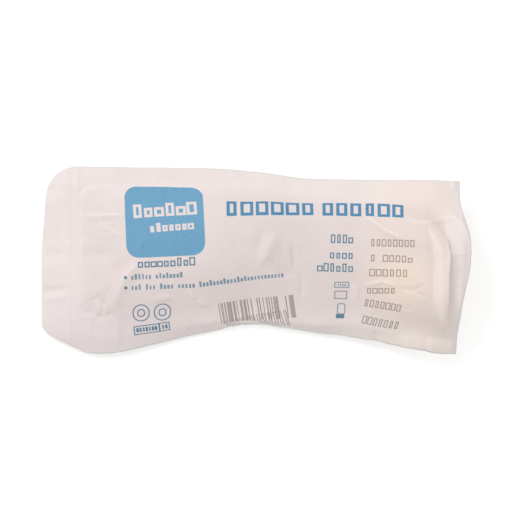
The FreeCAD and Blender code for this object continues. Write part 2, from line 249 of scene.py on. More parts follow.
# %% Stiff rim
END_SEAL_START, END_SEAL_REACH, END_SEAL_RISE = 66.2, 5.6, 3.0
END_SEAL_MIDDLE, END_SEAL_HALF, END_SEAL_FADE = -3.5, 10.0, 15.0
BUMP_MIDDLE, BUMP_REACHES, BUMP_RISE = (61.1, -30.2), (15.0, 9.0), 2.6


def ease(share):
    """A share from 0 to 1 that starts and stops gently."""
    share = np.clip(share, 0.0, 1.0)
    return share * share * (3.0 - 2.0 * share)


for grid in (paper, film):
    along = np.clip((grid[..., 0] / MM - END_SEAL_START) / END_SEAL_REACH, 0.0, 1.0)
    beside = (np.abs(grid[..., 1] / MM - END_SEAL_MIDDLE) - END_SEAL_HALF) / END_SEAL_FADE
    grid[..., 2] += END_SEAL_RISE * MM * along * ease(1.0 - beside)
    away = np.linalg.norm((grid[..., :2] / MM - BUMP_MIDDLE) / BUMP_REACHES, axis=2)
    grid[..., 2] += BUMP_RISE * MM * ease(1.0 - away)
print("end seal now reaches, mm:", (paper[-1, :, 2].max() / MM).round(1))

# %% [markdown]
# Paper doesn't stretch. Where it is pulled over the airway it gives way in folds: long soft ridges, short
# sharp creases, and puckers beside the seals. They could be sculpted by hand, but a table can be read
# and changed. Each fold is a line walked over the sheet, with how far its slopes reach to the left and
# right of it, because a paper fold is often broad on one side and steep on the other.

# %% Shape of one fold
# How much of its length a fold takes to rise, how much of it is left at its very ends, and the power that
# bends its slopes up to a sharp crest.
END_SHARE = 0.3
END_RISE = 0.25
CREST_POWER = 1.4


def fold(plan, line, rise, left, right, sharp):
    """How much one fold lifts each plan place. Sharp is 1 for a creased crest and 0 for a round one."""
    points = np.array(line) * MM
    runs = np.diff(points, axis=0)
    lengths = np.linalg.norm(runs, axis=1)
    walked = np.concatenate(([0.0], np.cumsum(lengths)))
    nearest, side, along = np.full((3, len(plan)), np.inf)
    for start, run, length, done in zip(points, runs, lengths, walked):
        forward = (plan - start) @ run / length
        beside = (run[0] * (plan - start)[:, 1] - run[1] * (plan - start)[:, 0]) / length
        gap = np.hypot(beside, forward - np.clip(forward, 0.0, length))
        closer = gap < nearest
        nearest = np.where(closer, gap, nearest)
        side = np.where(closer, beside, side)
        along = np.where(closer, done + np.clip(forward, 0.0, length), along)
    share = np.clip(1.0 - nearest / (np.where(side > 0.0, left, right) * MM), 0.0, 1.0)
    crest = sharp * share**CREST_POWER + (1.0 - sharp) * ease(share)
    to_end = np.minimum(along, walked[-1] - along) / (END_SHARE * walked[-1])
    return rise * MM * crest * ease(END_RISE + (1.0 - END_RISE) * to_end)


trial = fold(np.zeros((1, 2)), [(-5.0, 0.0), (5.0, 0.0)], 1.0, 2.0, 2.0, 1.0)
print("a fold 1 mm high is, at its middle, mm:", (trial / MM).round(2))

# %% [markdown]
# These are the folds that can be told apart in the photograph. The first number after each line is how
# far its crest stands above the sheet, or under it where it is a valley, and then come the reaches of
# its slopes to the left and right, all in millimetres, and how sharp the crest is.

# %% Folds that stand out
FOLDS = [
    # The pocket's edge steps up from the tab, and the seals at the tab and at the back are puffed.
    (
        [
            (-60.4, -25.3), (-61.2, -21.8), (-61.4, -0.7), (-61.3, 21.1), (-60.9, 23.2),
            (-59.6, 24.7), (-57.5, 25.6), (-54.7, 25.8), (-46.0, 25.6),
        ],
        0.38, 0.8, 6.0, 0.6,
    ),
    ([(-63.0, 33.7), (-63.0, 26.3), (-63.1, 15.8)], 0.32, 1.8, 1.3, 0.3),
    ([(-63.1, 19.3), (-63.2, 0.0), (-63.2, -30.2)], 0.14, 1.8, 1.3, 0.3),
    ([(-57.5, 32.6), (-44.2, 32.5), (-26.7, 31.9)], 0.85, 2.0, 6.5, 0.3),
    # Over the airway's tip and down from it.
    ([(-60.7, 15.6), (-53.3, 15.8), (-44.6, 16.1)], 0.70, 1.6, 2.6, 0.6),
    ([(-55.8, 15.4), (-53.3, 11.9), (-50.5, 10.2), (-47.4, 8.4)], 0.36, 1.2, 1.6, 1.0),
    ([(-60.7, 3.5), (-56.1, 1.8), (-50.5, 1.4)], -0.55, 3.6, 3.0, 0.1),
    (
        [(-41.8, 1.4), (-47.7, -3.5), (-50.2, -7.7), (-53.0, -13.7), (-55.8, -15.8), (-60.4, -17.2)],
        -0.80, 3.0, 3.8, 0.6,
    ),
    ([(-40.4, 0.4), (-43.9, -3.2), (-46.7, -7.0), (-49.1, -13.0), (-50.9, -17.2)], 1.00, 4.5, 3.0, 0.5),
    ([(-48.4, -0.7), (-52.6, -5.6), (-56.5, -10.5)], -0.30, 3.4, 4.0, 0.1),
    # Crumpled paper in the pocket's front corner, and where it runs out.
    ([(-56.8, -12.3), (-55.4, -15.1), (-55.1, -17.9)], 0.36, 1.2, 1.3, 0.9),
    ([(-53.7, -14.4), (-53.0, -16.8), (-54.4, -19.6)], -0.50, 1.2, 1.4, 0.8),
    ([(-56.1, -20.4), (-53.0, -19.6), (-50.2, -18.2)], -0.50, 1.4, 2.2, 0.6),
    ([(-60.7, -18.6), (-58.9, -18.2), (-56.8, -19.3)], -0.40, 1.2, 1.8, 0.6),
    ([(-50.2, -19.6), (-48.8, -23.9), (-48.8, -28.8)], 0.40, 2.2, 1.6, 0.4),
    ([(-58.9, -21.8), (-58.6, -24.9), (-57.9, -28.1)], 0.45, 1.0, 1.6, 0.6),
    # Soft folds over the middle, and darker creases beside them.
    ([(6.3, 9.5), (5.4, 6.0), (3.5, 1.8), (1.4, -2.1)], 0.90, 3.6, 2.6, 0.3),
    ([(2.1, 10.9), (1.8, 6.7), (-0.4, 2.1)], -0.55, 2.0, 3.2, 0.2),
    ([(12.3, 4.9), (12.6, 1.8), (13.2, -1.4), (13.7, -3.9)], -0.70, 1.6, 0.9, 0.9),
    ([(6.3, -4.6), (9.8, -5.3), (13.3, -4.9)], -0.40, 4.0, 1.6, 0.0),
    ([(14.7, -4.2), (16.0, -7.0), (16.1, -10.5), (16.0, -13.3)], -0.55, 1.2, 1.4, 0.7),
    # In front of the airway.
    ([(-37.2, -13.9), (-33.0, -13.3), (-28.8, -12.8)], 0.42, 1.6, 2.4, 0.3),
    ([(-24.2, -8.8), (-22.8, -11.6), (-21.4, -14.0)], 0.60, 2.2, 1.0, 0.8),
    ([(-21.1, -14.0), (-18.6, -15.1), (-15.8, -15.8)], 0.45, 2.6, 1.5, 0.6),
    ([(34.7, -8.4), (34.9, -11.6), (34.7, -15.1)], 0.45, 1.8, 2.4, 0.4),
    # Over the bite block.
    ([(37.2, 16.5), (39.6, 14.6), (45.8, 10.2), (52.3, 7.4)], 1.00, 2.6, 2.4, 0.8),
    ([(37.9, -8.9), (44.2, -7.5), (50.2, -9.3)], 0.60, 1.4, 1.1, 0.9),
    ([(50.2, -9.8), (54.7, -10.7), (58.9, -8.6)], -0.55, 1.1, 1.3, 0.9),
    ([(55.3, -11.1), (59.3, -13.2)], -0.40, 1.1, 1.1, 0.9),
    # Over the flange.
    ([(52.6, 13.9), (59.5, 12.6), (64.6, 13.9), (69.1, 14.9), (73.9, 12.8)], 0.90, 2.4, 2.2, 0.7),
    (
        [(63.2, 11.2), (66.7, 6.0), (67.5, 0.4), (67.0, -4.9), (66.8, -14.0), (66.0, -22.5)],
        1.10, 0.9, 5.4, 0.8,
    ),
    ([(59.8, 12.3), (61.2, 7.4), (62.1, -0.7), (61.4, -14.4), (64.9, -22.8)], -0.90, 2.6, 3.0, 0.7),
    # The end seal and its back corner.
    ([(67.4, 2.3), (70.9, 2.1), (74.4, 2.3)], 0.45, 1.2, 0.9, 1.0),
    ([(69.5, 15.4), (73.2, 10.9), (74.4, 6.0)], 0.50, 1.0, 1.5, 0.8),
    ([(68.8, 28.1), (69.1, 26.0), (69.8, 24.2)], 0.50, 2.0, 1.0, 0.6),
    # Waves of the front seal.
    ([(41.8, -31.6), (41.9, -28.4), (42.5, -24.6)], -0.70, 2.6, 6.0, 0.3),
    ([(53.0, -33.0), (53.0, -29.8), (53.3, -26.3)], 0.40, 4.0, 2.4, 0.3),
    ([(59.6, -33.7), (59.3, -30.2), (60.0, -26.0)], -0.50, 3.0, 2.4, 0.3),
    # Waves of the tab.
    ([(-75.8, 21.1), (-70.5, 21.1), (-65.6, 20.7)], 0.36, 4.0, 5.0, 0.0),
    ([(-75.8, 1.1), (-70.5, 1.8), (-65.6, 2.8)], -0.45, 3.6, 4.0, 0.1),
    ([(-75.8, -10.9), (-70.5, -10.5), (-65.6, -9.8)], -0.38, 1.8, 2.6, 0.3),
    ([(-75.8, -13.7), (-70.5, -13.3), (-65.6, -12.6)], 0.22, 1.8, 2.6, 0.3),
    # Two short marks of handling.
    ([(-38.9, 9.1), (-40.0, 6.0), (-41.4, 2.1)], 0.36, 1.4, 1.6, 0.8),
    ([(-38.2, 9.1), (-36.8, 6.0), (-34.7, 2.5)], 0.36, 1.6, 1.4, 0.8),
]
print("folds by hand:", len(FOLDS))

# %% [markdown]
# Between them the paper is never quite still. Dozens of faint creases give it the look of a pack that has
# been handled. They are strewn by a random generator with a fixed seed, thickest where the real paper is
# worked most: round the airway's tip, over its flange, and beside the seals.

# %% Faint creases
CREASE_SEED = 11
CREASE_SCATTER = 0.5
CREASE_HALF_LENGTHS = (1.5, 5.0)
CREASE_BEND = 0.12
CREASE_RISE_SHARES = (0.4, 1.4)
CREASE_REACHES = (0.7, 2.2)
CREASE_SHARPNESS = 0.9
# Middle and reach of each patch, how many creases it has, their heading and its spread, and their rise.
CREASE_PATCHES = [
    ((-53.3, 10.5), (9.0, 9.0), 14, 15.0, 35.0, 0.12),
    ((-53.3, -15.4), (9.0, 7.0), 16, 60.0, 40.0, 0.16),
    ((-31.9, -14.0), (16.0, 9.0), 10, 10.0, 50.0, 0.09),
    ((8.4, 1.8), (12.0, 10.0), 10, 80.0, 35.0, 0.12),
    ((51.9, -8.8), (12.0, 13.0), 16, 20.0, 45.0, 0.12),
    ((63.9, -3.5), (5.0, 18.0), 12, 80.0, 25.0, 0.12),
    ((70.9, -1.8), (4.0, 24.0), 12, 0.0, 20.0, 0.12),
    ((1.4, 29.1), (62.0, 2.5), 18, 85.0, 20.0, 0.08),
    ((-2.1, -26.0), (62.0, 4.0), 22, 85.0, 25.0, 0.10),
    ((-70.5, 3.5), (4.0, 24.0), 10, 0.0, 20.0, 0.08),
    ((1.4, 1.8), (62.0, 24.0), 30, 0.0, 80.0, 0.06),
]


def crease_lines(seed):
    """Short bent lines with their rises and reaches, strewn over the patches."""
    rng = np.random.default_rng(seed)
    for middle, reaches, count, heading, spread_out, rise in CREASE_PATCHES:
        for _ in range(count):
            place = np.array(middle) + rng.normal(0.0, CREASE_SCATTER, 2) * reaches
            turn = math.radians(rng.normal(heading, spread_out))
            half = rng.uniform(*CREASE_HALF_LENGTHS) * np.array((math.cos(turn), math.sin(turn)))
            bend = rng.normal(0.0, CREASE_BEND) * np.array((-half[1], half[0]))
            height = rise * rng.uniform(*CREASE_RISE_SHARES) * rng.choice((-1.0, 1.0))
            left, right = rng.uniform(*CREASE_REACHES, 2)
            yield [place - half, place + bend, place + half], height, left, right, CREASE_SHARPNESS


faint = list(crease_lines(CREASE_SEED))
print("faint creases:", len(faint))

# %% [markdown]
# Last comes a slow unevenness a few tenths of a millimetre high, which keeps level places from looking
# pressed. It is a sum of a few long waves with random headings. The relief is then the lift of all of it at
# any place, and it acts along the sheet's normal, so that it can't fold a steep wall over itself.

# %% Relief of the paper
WAVE_SEED = 4
WAVE_COUNT = 14
WAVE_LENGTHS = (9.0 * MM, 30.0 * MM)
WAVE_STEEPNESS = 0.005


def relief(plan):
    """How far the sheet stands off the solid's smooth surface at each plan place."""
    lift = np.zeros(len(plan))
    for entry in FOLDS + faint:
        lift += fold(plan, *entry)
    rng = np.random.default_rng(WAVE_SEED)
    for _ in range(WAVE_COUNT):
        heading, phase = rng.uniform(0.0, 2.0 * math.pi, 2)
        length = rng.uniform(*WAVE_LENGTHS)
        along = plan @ np.array((math.cos(heading), math.sin(heading)))
        lift += WAVE_STEEPNESS * length / 2.0 * np.sin(2.0 * math.pi * along / length + phase)
    return lift


def normals(grid):
    """Unit normals of a grid of points, upwards where its rows run along X and its columns along Y."""
    across = np.cross(np.gradient(grid, axis=0), np.gradient(grid, axis=1))
    return across / np.linalg.norm(across, axis=2, keepdims=True)


paper_lift = relief(paper[..., :2].reshape(-1, 2)).reshape(PAPER_ROWS, PAPER_COLUMNS, 1)
creased = paper + normals(paper) * paper_lift
print("relief, mm:", (paper_lift.min() / MM).round(2), "to", (paper_lift.max() / MM).round(2))

# %% [markdown]
# The film is heat-sealed to the paper along all four sides, so there it must copy the paper's folds.
# Inside the seals it hangs free, a drawn tray with a few soft dents of its own. How far apart the two
# webs are tells the one from the other: the film follows the paper fully where they touch.

# %% Film follows the seals
SEALED_GAP = 0.7 * MM
FREE_GAP = 2.0 * MM
# Middle of each dent in the film, its radius and its depth, in millimetres.
DENTS = [
    ((-37.2, 7.0), 9.0, 0.35),
    ((-16.1, -14.0), 8.0, 0.30),
    ((15.4, -10.5), 7.0, 0.35),
    ((29.5, 15.8), 9.0, 0.30),
    ((55.8, 1.8), 6.0, 0.25),
]

film_plan = film[..., :2].reshape(-1, 2)
gap = drop(film_plan, from_below=False) - film[..., 2].reshape(-1)
sealed = ease((FREE_GAP - gap) / (FREE_GAP - SEALED_GAP))
film_lift = sealed * relief(film_plan)
for middle, radius, depth in DENTS:
    away = np.linalg.norm(film_plan - np.array(middle) * MM, axis=1) / (radius * MM)
    film_lift += (1.0 - sealed) * depth * MM * ease(1.0 - away)
film = film + normals(film) * film_lift.reshape(FILM_ROWS, FILM_COLUMNS, 1)
film[..., 2] = np.maximum(film[..., 2], float(cad_box[0][2]))
print("share of the film that is sealed:", round(float((sealed > 0.5).mean()), 2))

# %% [markdown]
# Trees of nodes are quicker to read when each step is one short line. These helpers add a node, and link
# what is a socket and set what is a plain value. They serve the trees that make shapes and the ones that
# make materials.

# %% Node helpers
def new_group(kind, name, inputs, outputs):
    """A group of nodes, with named inputs and outputs that each have their kind of socket."""
    tree = bpy.data.node_groups.new(name, kind)
    for way, sockets in (("INPUT", inputs), ("OUTPUT", outputs)):
        for item, socket in sockets.items():
            tree.interface.new_socket(item, in_out=way, socket_type=f"NodeSocket{socket}")
    return tree, tree.nodes.new("NodeGroupInput").outputs


def add(tree, kind, values=(), **settings):
    """A new node. Values go to its inputs by number or name, as a link where they are sockets."""
    node = tree.nodes.new(kind)
    for name, value in settings.items():
        setattr(node, name, value)
    for name, value in values.items() if isinstance(values, dict) else enumerate(values):
        if isinstance(value, bpy.types.NodeSocket):
            tree.links.new(value, node.inputs[name])
        else:
            node.inputs[name].default_value = value
    return node


def maths(tree, operation, *values, clamp=False):
    """The result of one sum."""
    return add(tree, "ShaderNodeMath", values, operation=operation, use_clamp=clamp).outputs[0]


def ramp(tree, value, start, end):
    """A value's gentle way from 0 at start to 1 at end."""
    values = {"Value": value, "From Min": start, "From Max": end}
    return add(tree, "ShaderNodeMapRange", values, interpolation_type="SMOOTHSTEP").outputs[0]


# %% [markdown]
# The sealing bars leave their print in both webs: one fine line beside the peel tab, one along the
# pocket's edge, and one beside the far end. A line that follows a surface is work for Geometry Nodes. The
# tree takes the sheet and a curve, finds how near each point is to the curve, and lifts the near ones
# along their normals. One tree serves both webs.

# %% Pressed lines tree
PRESSED_INPUTS = {
    "Sheet": "Geometry",
    "Lines": "Object",
    "Rise": "Float",
    "Half Width": "Float",
    "Web": "Material",
}
pressed, given = new_group("GeometryNodeTree", "pressed lines", PRESSED_INPUTS, {"Sheet": "Geometry"})
lines = add(pressed, "GeometryNodeObjectInfo", {"Object": given["Lines"]}).outputs["Geometry"]
edges = add(pressed, "GeometryNodeCurveToMesh", {"Curve": lines}).outputs["Mesh"]
away = add(pressed, "GeometryNodeProximity", [edges], target_element="EDGES").outputs["Distance"]
rise = maths(pressed, "MULTIPLY", ramp(pressed, away, given["Half Width"], 0.0), given["Rise"])
normal = add(pressed, "GeometryNodeInputNormal").outputs["Normal"]
lift = add(pressed, "ShaderNodeVectorMath", {0: normal, "Scale": rise}, operation="SCALE").outputs["Vector"]
moved = add(pressed, "GeometryNodeSetPosition", {"Geometry": given["Sheet"], "Offset": lift}).outputs[0]
real = add(pressed, "GeometryNodeRealizeInstances", [moved]).outputs[0]
coated = add(pressed, "GeometryNodeSetMaterial", {"Geometry": real, "Material": given["Web"]}).outputs[0]
add(pressed, "NodeGroupOutput", [coated])
print("pressed lines:", len(pressed.nodes), "nodes")

# %% [markdown]
# The lines are curves that lie on the paper. Their places are written as seen from above, and each point
# takes its height from the nearest point of the grid.

# %% Lines of the sealing bars
LINE_STEP = 1.0 * MM
SEAL_LINES = [
    [(-65.8, 31.2), (-65.6, 0.0), (-65.6, -29.5)],
    [(-61.5, 22.5), (-61.5, 0.0), (-61.5, -20.4)],
    [(71.9, 25.3), (72.3, 14.0), (72.8, 7.0), (72.8, -3.5), (71.2, -14.0), (69.1, -24.6), (68.4, -30.9)],
]


def heights_on(grid, plan):
    """The height of plan places on a grid, each taken from the grid's nearest point."""
    flat = grid.reshape(-1, 3)
    return [flat[np.argmin(np.hypot(*(flat[:, :2] - place).T))][2] for place in plan]


seal_curve = bpy.data.curves.new("seal_lines", "CURVE")
seal_curve.dimensions = "3D"
for line in SEAL_LINES:
    corners = np.array(line) * MM
    plan = spread(corners, 1 + round(np.linalg.norm(np.diff(corners, axis=0), axis=1).sum() / LINE_STEP))
    spline = seal_curve.splines.new("POLY")
    spline.points.add(len(plan) - 1)
    for point, (x, y), z in zip(spline.points, plan, heights_on(creased, plan)):
        point.co = (x, y, z, 1.0)
seal_lines = bpy.data.objects.new("seal_lines", seal_curve)
bpy.context.scene.collection.objects.link(seal_lines)
print("seal lines:", len(SEAL_LINES))

# %% [markdown]
# Colours are written as they look on a screen, from 0 to 255, and turned into the linear values that
# shaders work with. Three more helpers mix colours, make noise, and read what the mesh holds.

# %% Colour helpers
def linear(value):
    """One part of a screen colour, from 0 to 255, as a linear share of light."""
    share = value / 255.0
    return share / 12.92 if share <= 0.04045 else ((share + 0.055) / 1.055) ** 2.4


def colour(red, green, blue):
    """A screen colour as the linear one that a shader wants."""
    return linear(red), linear(green), linear(blue), 1.0


def mixed(tree, share, first, second, way="MIX"):
    """The first colour, turning to the second, or multiplied by it, as share goes from 0 to 1."""
    values = {0: share, 6: first, 7: second}
    return add(tree, "ShaderNodeMix", values, data_type="RGBA", blend_type=way).outputs[2]


def noise(tree, place, scale, detail):
    """Cloudy noise between 0 and 1, with so many clouds to the metre."""
    values = {"Vector": place, "Scale": scale, "Detail": detail}
    return add(tree, "ShaderNodeTexNoise", values).outputs[0]


def attribute_of(tree, name, output):
    """What an attribute of the mesh says at each place."""
    return add(tree, "ShaderNodeAttribute", attribute_name=name).outputs[output]


print("half white on a screen is this share of light:", round(linear(128), 3))

# %% [markdown]
# The pouch's print is plain: a blue panel, rows of plain marks, rings, boxes and a field of stripes. An
# image would blur when it is looked at closely, so each shape is worked out by the shader. The first group
# draws a box with round corners. From the distance to its outline it inks the inside, or only a line of
# some width along the outline, so it also serves for rings.

# %% Printed box
EDGE_SOFTNESS = 0.09


def ink_group(name, sizes):
    """A shader group that inks one shape. It takes a place and named sizes, and gives the ink there."""
    inputs = {"Place": "Vector", **dict.fromkeys(sizes, "Float")}
    return new_group("ShaderNodeTree", name, inputs, {"Ink": "Float"})


BOX_SIZES = ("Half Length", "Half Height", "Corner", "Line")
box_tree, given = ink_group("printed box", BOX_SIZES)
spot = add(box_tree, "ShaderNodeSeparateXYZ", [given["Place"]]).outputs
past = []
for axis, half in ((0, given["Half Length"]), (1, given["Half Height"])):
    straight = maths(box_tree, "SUBTRACT", half, given["Corner"])
    past.append(maths(box_tree, "SUBTRACT", maths(box_tree, "ABSOLUTE", spot[axis]), straight))
outside = add(box_tree, "ShaderNodeCombineXYZ", [maths(box_tree, "MAXIMUM", way, 0.0) for way in past])
from_corner = add(box_tree, "ShaderNodeVectorMath", [outside.outputs[0]], operation="LENGTH").outputs["Value"]
inside = maths(box_tree, "MINIMUM", maths(box_tree, "MAXIMUM", *past), 0.0)
distance = maths(box_tree, "SUBTRACT", maths(box_tree, "ADD", from_corner, inside), given["Corner"])
half_line = maths(box_tree, "MULTIPLY", given["Line"], 0.5)
from_line = maths(box_tree, "ABSOLUTE", maths(box_tree, "ADD", distance, half_line))
ink = ramp(box_tree, maths(box_tree, "SUBTRACT", from_line, half_line), EDGE_SOFTNESS, -EDGE_SOFTNESS)
add(box_tree, "NodeGroupOutput", [ink])
print("printed box:", len(box_tree.nodes), "nodes")

# %% [markdown]
# The second group repeats a box along a row, with a random width, height and gap for each. White noise
# gives the same random number everywhere in one cell, so a cell's number picks its mark.

# %% Row of marks
MARK_CORNER = 0.12
# The narrowest mark and how much wider others are, as shares of a full one, and how far a low one drops.
NARROWEST, WIDTH_SPREAD = 0.75, 0.5
LOW_DROP = 0.3

ROW_SIZES = ("Half Length", "Half Height", "Pitch", "Fill", "Low", "Gaps", "Line", "Seed")
row_tree, given = ink_group("row of marks", ROW_SIZES)
spot = add(row_tree, "ShaderNodeSeparateXYZ", [given["Place"]]).outputs
count = maths(row_tree, "DIVIDE", maths(row_tree, "ADD", spot[0], given["Half Length"]), given["Pitch"])
cell = add(row_tree, "ShaderNodeCombineXYZ", [maths(row_tree, "FLOOR", count), given["Seed"]])
chance = add(row_tree, "ShaderNodeTexWhiteNoise", [cell.outputs[0]], noise_dimensions="2D")
chances = add(row_tree, "ShaderNodeSeparateColor", [chance.outputs["Color"]]).outputs
width = maths(row_tree, "MULTIPLY_ADD", chances[0], WIDTH_SPREAD, NARROWEST)
width = maths(row_tree, "MULTIPLY", maths(row_tree, "MULTIPLY", width, given["Fill"]), given["Pitch"])
is_low = maths(row_tree, "LESS_THAN", chances[1], given["Low"])
drop_share = maths(row_tree, "MULTIPLY", is_low, LOW_DROP)
half_height = maths(row_tree, "MULTIPLY", maths(row_tree, "SUBTRACT", 1.0, drop_share), given["Half Height"])
lowered = maths(row_tree, "MULTIPLY", drop_share, given["Half Height"])
beside = maths(row_tree, "SUBTRACT", maths(row_tree, "FRACT", count), 0.5)
beside = maths(row_tree, "MULTIPLY", beside, given["Pitch"])
above = maths(row_tree, "ADD", spot[1], lowered)
sizes = {
    "Place": add(row_tree, "ShaderNodeCombineXYZ", [beside, above]).outputs[0],
    "Half Length": maths(row_tree, "MULTIPLY", width, 0.5),
    "Half Height": half_height,
    "Corner": MARK_CORNER,
    "Line": given["Line"],
}
mark = add(row_tree, "ShaderNodeGroup", sizes, node_tree=box_tree)
is_there = maths(row_tree, "GREATER_THAN", chances[2], given["Gaps"])
is_in_row = maths(row_tree, "LESS_THAN", maths(row_tree, "ABSOLUTE", spot[0]), given["Half Length"])
ink = maths(row_tree, "MULTIPLY", maths(row_tree, "MULTIPLY", mark.outputs[0], is_there), is_in_row)
add(row_tree, "NodeGroupOutput", [ink])
print("row of marks:", len(row_tree.nodes), "nodes")

# %% [markdown]
# The print lies on the paper and creases with it, so it needs the paper's own flat coordinates. The sheet
# is unrolled across the pouch only: each point keeps its place along the pouch, and across it gets its
# distance from the middle column, measured over the surface. Where the sheet is level this is the view
# from above, and on the steep sides the print keeps its true size. It is kept on the mesh as an attribute.

# %% Flat coordinates for the print
MIDDLE_COLUMN = PAPER_COLUMNS // 2
PLAN = paper[..., :2] / MM
PLAN_STEPS = np.stack(np.gradient(PLAN, axis=(0, 1)), axis=-1)
column_steps = np.linalg.norm(np.diff(paper, axis=1), axis=2) / MM
across = np.concatenate((np.zeros((PAPER_ROWS, 1)), np.cumsum(column_steps, axis=1)), axis=1)
across += (PLAN[:, MIDDLE_COLUMN, 1] - across[:, MIDDLE_COLUMN])[:, None]
print_place = np.stack((PLAN[..., 0], across, np.zeros_like(across)), axis=2)
PRINT_STEPS = np.stack(np.gradient(print_place[..., :2], axis=(0, 1)), axis=-1)


def on_sheet(place):
    """Flat coordinates of a place seen from above, by way of the nearest grid point."""
    away = np.array(place) - PLAN
    at = np.unravel_index(np.argmin((away**2).sum(axis=2)), PLAN.shape[:2])
    return print_place[at][:2] + PRINT_STEPS[at] @ np.linalg.solve(PLAN_STEPS[at], away[at])


def laid(start, end, height):
    """Location, turn, half length and half height on the sheet of a row seen from above."""
    start, end = np.array(start), np.array(end)
    up = np.array((start[1] - end[1], end[0] - start[0]))
    up = up / np.linalg.norm(up) * height
    middle = (start + end) / 2.0
    first, last = on_sheet(start), on_sheet(end)
    tall = np.linalg.norm(on_sheet(middle + up / 2.0) - on_sheet(middle - up / 2.0))
    turn = math.atan2(last[1] - first[1], last[0] - first[0])
    return (*((first + last) / 2.0), 0.0), (0.0, 0.0, turn), np.linalg.norm(last - first) / 2.0, tall / 2.0


widths = across[:, -1] - across[:, 0]
print("paper's width over the surface, mm:", widths.min().round(1), "to", widths.max().round(1))

# %% [markdown]
# The print is a table. A box has its two ends seen from above, its height, its corner and the width of its
# line. A row has its ends, its height, how many marks it has room for, how full each mark's room is, the
# share of low marks, the share of gaps, the width of a mark's line, and a seed. A line as wide as SOLID
# fills the whole shape.

# %% Print of the pouch
SOLID = 99.0
MARK_BLUE = colour(62, 134, 176)
LABEL_BLUE = colour(84, 128, 152)
FINE_BLUE = colour(118, 148, 166)
CODE_GREY = colour(160, 144, 138)
PANEL_BLUE = colour(98, 160, 196)

PANEL = [((-45.8, 13.5), (-18.2, 14.7), 24.4, 4.5, SOLID)]
PANEL_ROWS = [
    ((-43.5, 17.0), (-20.7, 18.4), 4.6, 6, 0.80, 0.4, 0.0, 1.0, 3.0),
    ((-37.5, 11.1), (-21.8, 12.5), 3.1, 7, 0.80, 0.5, 0.0, 0.7, 5.0),
]
BOXES = {
    "label": [
        ((-43.3, -18.7), (-37.3, -18.5), 6.0, 3.0, 0.42),
        ((-35.8, -18.4), (-29.8, -18.2), 6.0, 3.0, 0.42),
        ((-41.7, -18.6), (-38.9, -18.6), 2.8, 1.4, 0.42),
        ((-34.2, -18.4), (-31.4, -18.3), 2.8, 1.4, 0.42),
        ((-42.9, -25.0), (-33.8, -23.7), 3.1, 0.1, 0.40),
        ((-34.0, -23.7), (-30.2, -23.2), 3.1, 0.1, 0.40),
        ((28.0, -19.8), (30.9, -19.8), 1.5, 0.1, SOLID),
        ((-46.0, -6.2), (-45.0, -6.1), 1.0, 0.2, SOLID),
        ((-46.0, -9.7), (-45.0, -9.7), 1.0, 0.2, SOLID),
    ],
    "fine": [
        ((27.4, -8.8), (32.6, -8.8), 2.1, 0.1, 0.36),
        ((27.4, -12.3), (31.9, -12.4), 2.9, 0.1, 0.36),
        ((28.4, -17.2), (31.3, -17.3), 3.9, 0.8, 0.36),
    ],
}
ROWS = {
    "mark": [
        ((-11.2, 18.0), (20.8, 18.2), 4.7, 6, 0.80, 0.0, 0.0, 1.15, 1.0),
        ((22.7, 18.0), (52.1, 17.0), 4.7, 6, 0.80, 0.0, 0.0, 1.15, 8.0),
    ],
    "label": [
        ((-41.6, -1.3), (-21.2, -0.4), 3.0, 9, 0.78, 0.65, 0.0, 0.5, 2.0),
        ((-42.1, -24.8), (-34.6, -23.8), 1.5, 7, 0.7, 0.0, 0.0, SOLID, 4.0),
        ((-33.2, -23.6), (-30.9, -23.3), 1.5, 2, 0.7, 0.0, 0.0, SOLID, 6.0),
        ((26.0, 7.5), (34.2, 7.3), 3.0, 4, 0.75, 0.6, 0.0, 0.45, 7.0),
        ((25.6, 2.1), (34.2, 1.8), 3.0, 4, 0.75, 0.6, 0.0, 0.45, 9.0),
        ((21.3, -2.5), (34.2, -2.8), 3.0, 6, 0.75, 0.6, 0.0, 0.45, 10.0),
    ],
    "fine": [
        ((-43.9, -6.0), (-25.6, -5.1), 2.0, 15, 0.6, 0.7, 0.14, SOLID, 11.0),
        ((-43.9, -9.6), (-22.5, -8.7), 2.0, 17, 0.6, 0.7, 0.12, SOLID, 12.0),
        ((-22.5, -8.7), (-5.6, -6.7), 2.0, 14, 0.65, 0.7, 0.12, SOLID, 13.0),
        ((-5.6, -6.7), (9.8, -5.1), 1.8, 13, 0.6, 0.7, 0.08, SOLID, 31.0),
        ((28.4, -8.8), (31.6, -8.9), 0.8, 4, 0.5, 0.0, 0.0, SOLID, 15.0),
    ],
    "code": [
        ((39.9, 6.1), (55.5, 5.7), 2.5, 8, 0.72, 0.0, 0.0, 0.36, 16.0),
        ((39.9, 0.7), (41.8, 0.6), 2.4, 1, 0.85, 0.0, 0.0, 0.36, 17.0),
        ((44.2, 0.6), (54.9, 0.2), 2.4, 5, 0.75, 0.3, 0.0, 0.36, 18.0),
        ((39.5, -4.4), (53.2, -4.7), 2.5, 6, 0.75, 0.0, 0.0, 0.36, 19.0),
        ((38.6, -10.8), (48.9, -10.8), 1.9, 5, 0.75, 0.0, 0.0, 0.36, 20.0),
        ((37.9, -14.7), (50.9, -16.9), 2.5, 7, 0.72, 0.0, 0.0, 0.36, 21.0),
        ((37.2, -20.6), (50.2, -22.9), 2.7, 7, 0.72, 0.0, 0.0, 0.36, 22.0),
        ((-12.8, -19.1), (14.0, -16.0), 7.6, 64, 0.9, 0.0, 0.5, SOLID, 23.0),
        ((-10.5, -23.2), (11.9, -20.7), 1.6, 12, 0.6, 0.0, 0.1, 0.3, 24.0),
    ],
}
print("boxes and rows in each ink:", {ink: len(BOXES.get(ink, [])) + len(rows) for ink, rows in ROWS.items()})

